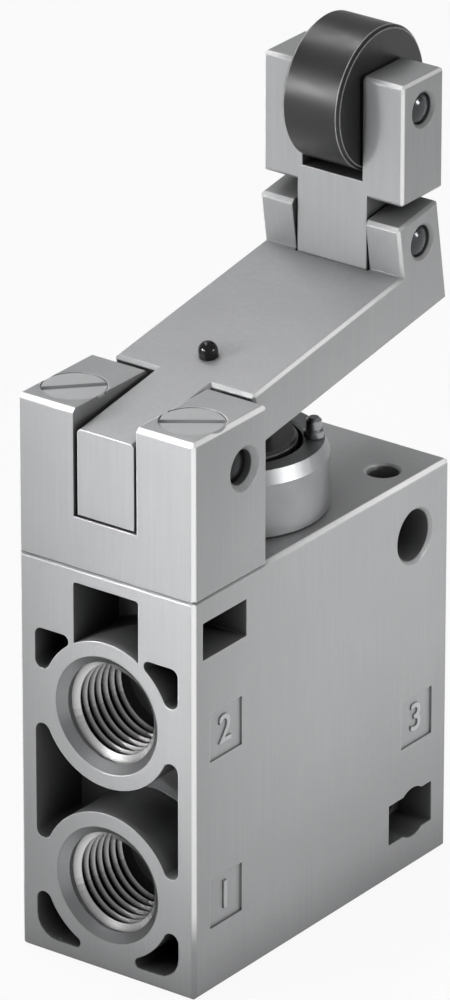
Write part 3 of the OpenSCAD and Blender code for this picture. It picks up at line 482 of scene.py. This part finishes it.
def port_lead_in(name, mouth, inward):
    """Ring with a wedge section that covers the cone at the mouth of a port."""
    end = MOUTH_R - PORT_R + MOUTH_STEP
    section = ((MOUTH_STEP, MOUTH_R - COVER), (end, PORT_R - COVER), (end, PORT_R + WEDGE))
    bm = bmesh.new()
    wedge = [bm.verts.new(mouth + inward * depth + SIDE * radius) for depth, radius in section]
    edges = [bm.edges.new((a, b)) for a, b in zip(wedge, wedge[1:] + wedge[:1])]
    bmesh.ops.spin(bm, geom=wedge + edges, cent=mouth, axis=inward, angle=2 * math.pi,
                   steps=STEPS_PER_TURN, use_merge=True)
    ring = shape_object(bm, name, lead_in_metal, smooth=True)
    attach(ring, "housing")
    return ring


body_low, body_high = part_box("valve_body")
for name, mount in port_mounts.items():
    outward = Vector(mount["axis"])
    height = mount["pos_m"][2]
    mouth = Vector((0, body_low[1] if outward.y < 0 else body_high[1], height))
    thread = port_thread(name.replace("port", "thread"), mouth, -outward)
    ring = port_lead_in(name.replace("port", "lead_in"), mouth, -outward)
    print(thread.name, "faces:", len(thread.data.polygons), "with", ring.name)

# %% [markdown]
# ## Port numbers
#
# Each port has a sunk square field on the side of the body. Plain port numbers stand in them,
# raised by a fraction of a millimetre: text is extruded, made a mesh, and only then moved to its
# place, so the finished piece sits at the origin like every other one. The table gives each number
# and its place in depth and height, in millimetres.

# %% Raise the port numbers
FIELD_SINK = 0.3 * MM
NUMBER_RISE = 0.2 * MM
NUMBER_SIZE = 5.2 * MM
NUMBER_BEVEL = 0.05 * MM
UPRIGHT = Matrix(((0, 0, 1, 0), (1, 0, 0, 0), (0, 1, 0, 0), (0, 0, 0, 1)))
NUMBERS = {"number_working": ("2", -19.7, 33.75), "number_supply": ("1", -19.7, 11.7),
           "number_exhaust": ("3", 19.5, 20.0)}


def raised_number(name, text, depth, height):
    """Text that stands on its field, with its place in the mesh."""
    curve = bpy.data.curves.new(name, "FONT")
    curve.body = text
    curve.size = NUMBER_SIZE
    curve.align_x = "CENTER"
    curve.align_y = "CENTER"
    curve.extrude = NUMBER_RISE / 2
    curve.bevel_depth = NUMBER_BEVEL
    curve.bevel_resolution = 1
    draft = bpy.data.objects.new(name + "_draft", curve)
    bpy.context.collection.objects.link(draft)
    bpy.context.view_layer.update()
    finished = draft.evaluated_get(bpy.context.evaluated_depsgraph_get())
    mesh = bpy.data.meshes.new_from_object(finished)
    bpy.data.objects.remove(draft)
    face = body_high[0] - FIELD_SINK + NUMBER_RISE / 2
    mesh.transform(Matrix.Translation((face, depth * MM, height * MM)) @ UPRIGHT)
    mesh.name = name
    number = bpy.data.objects.new(name, mesh)
    bpy.context.collection.objects.link(number)
    mesh.materials.clear()
    mesh.materials.append(number_casting)
    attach(number, "housing")
    return number


for name, (text, depth, height) in NUMBERS.items():
    number = raised_number(name, text, depth, height)
    print(number.name, "stands at x =", round(max(v.co.x for v in number.data.vertices) / MM, 2))

# %% [markdown]
# ## Floor and background
#
# The floor is a large pale sheet of paper. Light Path tells how a ray got there: seen straight
# from the camera or mirrored in the metal the paper mostly glows white, so the background is white
# and only a soft trace of the valve's shadow stays; for all other light it is plain pale paper.

# %% Lay the floor
FLOOR_SIZE = 3.0
GLOW_SHARE = 0.92
floor_material, tree = start_material("pale_studio_paper")
paper = add(tree, "BsdfDiffuse", Color=linear("#F0F0F0"))
glow = add(tree, "Emission", Color=linear("#FFFFFF"), Strength=1.0)
ray = add(tree, "LightPath")
mirrored = add(tree, "Math", {0: ray.outputs["Is Glossy Ray"],
                              1: ray.outputs["Is Transmission Ray"]}, {"operation": "MAXIMUM"})
seen = add(tree, "Math", {0: ray.outputs["Is Camera Ray"], 1: mirrored.outputs["Value"]},
           {"operation": "MAXIMUM"})
share = add(tree, "MapRange", {"Value": seen.outputs["Value"]}, To_Max=GLOW_SHARE)
mixed = add(tree, "MixShader", {"Fac": share.outputs["Result"], 1: paper.outputs["BSDF"],
                                2: glow.outputs["Emission"]})
close_material(tree, mixed)
bm = bmesh.new()
bmesh.ops.create_grid(bm, x_segments=1, y_segments=1, size=FLOOR_SIZE)
bmesh.ops.translate(bm, verts=bm.verts, vec=(0, 0, body_low[2]))
floor_mesh = bpy.data.meshes.new("studio_floor")
bm.to_mesh(floor_mesh)
bm.free()
floor_mesh.materials.append(floor_material)
floor = bpy.data.objects.new("studio_floor", floor_mesh)
bpy.context.collection.objects.link(floor)
print("floor:", floor.name)

# %% [markdown]
# ## Light
#
# A dim white world lights everything evenly. Soft boxes with a grid in front, which keeps their
# beams narrow, do the modelling. One at the front left aims at the upper right of the port face
# and fades towards the base. Two more, one in front and one to the left of it, brighten the fork
# and the roller without a hard shadow between them. One above gives the top faces and the roller a
# light band, and another lifts the top of the bearing block. One from the right aims at the side
# face, and a weak one behind it sets a sparkle on the cross pins. A row of the table holds name,
# place, aim, size, power in watts and the angle of the grid in degrees.

# %% Set the lights
WORLD_STRENGTH = 0.44
world = bpy.data.worlds.new("studio_white")
bpy.context.scene.world = world
world.use_nodes = True
world.node_tree.nodes["Background"].inputs["Color"].default_value = linear("#FFFFFF")
world.node_tree.nodes["Background"].inputs["Strength"].default_value = WORLD_STRENGTH


def soft_box(name, place, aim, size, power, grid_angle):
    """Area lamp that looks from its place to its aim."""
    lamp = bpy.data.lights.new(name, "AREA")
    lamp.shape = "RECTANGLE"
    lamp.size, lamp.size_y = size
    lamp.energy = power
    lamp.spread = math.radians(grid_angle)
    box = bpy.data.objects.new(name, lamp)
    bpy.context.collection.objects.link(box)
    box.location = place
    box.rotation_euler = (Vector(aim) - Vector(place)).to_track_quat("-Z", "Y").to_euler()


FRONT_AIM = (0.020, -0.028, 0.056)
ROLLER_AIM = (0.0, 0.01, 0.098)
HEAD_AIM = (0.0, 0.02, 0.095)
SIDE_AIM = (0.013, 0.008, 0.044)
BLOCK_AIM = (0.0, -0.012, 0.072)
LAMPS = (
    ("front_left", (-0.30, -0.48, 0.22), FRONT_AIM, (0.04, 0.08), 0.0141, 5),
    ("head_front", (-0.10, -0.56, 0.20), ROLLER_AIM, (0.1, 0.1), 0.012, 10),
    ("head_left", (-0.32, -0.48, 0.20), ROLLER_AIM, (0.1, 0.1), 0.014, 10),
    ("top_left", (-0.32, 0.10, 0.56), HEAD_AIM, (0.2, 0.2), 0.055, 40),
    ("side_right", (0.62, 0.13, 0.17), SIDE_AIM, (0.06, 0.06), 0.0062, 5),
    ("block_top", (-0.15, -0.10, 0.62), BLOCK_AIM, (0.06, 0.06), 0.003, 5),
    ("pin_sparkle", (0.52, 0.32, 0.10), HEAD_AIM, (0.07, 0.07), 0.009, 30),
)
for row in LAMPS:
    soft_box(*row)
print("lamps:", ", ".join(row[0] for row in LAMPS))

# %% [markdown]
# ## Camera
#
# The camera stands far away with a long lens, to the right of the port face and above it. Its
# numbers come from matching the block's edges: the view keeps upright edges almost upright and
# shows the port face, the right side and the top.

# %% Place the camera
AZIMUTH = math.radians(36.41)
ELEVATION = math.radians(24.38)
DISTANCE = 1062 * MM
TARGET = Vector((0, 0, 45 * MM))
OFFSET_RIGHT = -1.356 * MM
OFFSET_UP = 7.147 * MM
LENS = 318.1
SENSOR = 36
FAR_CLIP = 20

right = Vector((math.cos(AZIMUTH), math.sin(AZIMUTH), 0))
back = Vector((math.sin(AZIMUTH) * math.cos(ELEVATION), -math.cos(AZIMUTH) * math.cos(ELEVATION),
               math.sin(ELEVATION)))
up = back.cross(right)
eye = TARGET + back * DISTANCE + right * OFFSET_RIGHT + up * OFFSET_UP
camera_data = bpy.data.cameras.new("camera")
camera_data.sensor_width = SENSOR
camera_data.lens = LENS
camera_data.clip_end = FAR_CLIP
camera = bpy.data.objects.new("camera", camera_data)
bpy.context.collection.objects.link(camera)
camera.matrix_world = Matrix((right, up, back)).transposed().to_4x4()
camera.location = eye
bpy.context.scene.camera = camera
bpy.context.scene.view_settings.view_transform = "Standard"
print("camera stands at", [round(part / MM) for part in eye], "mm")
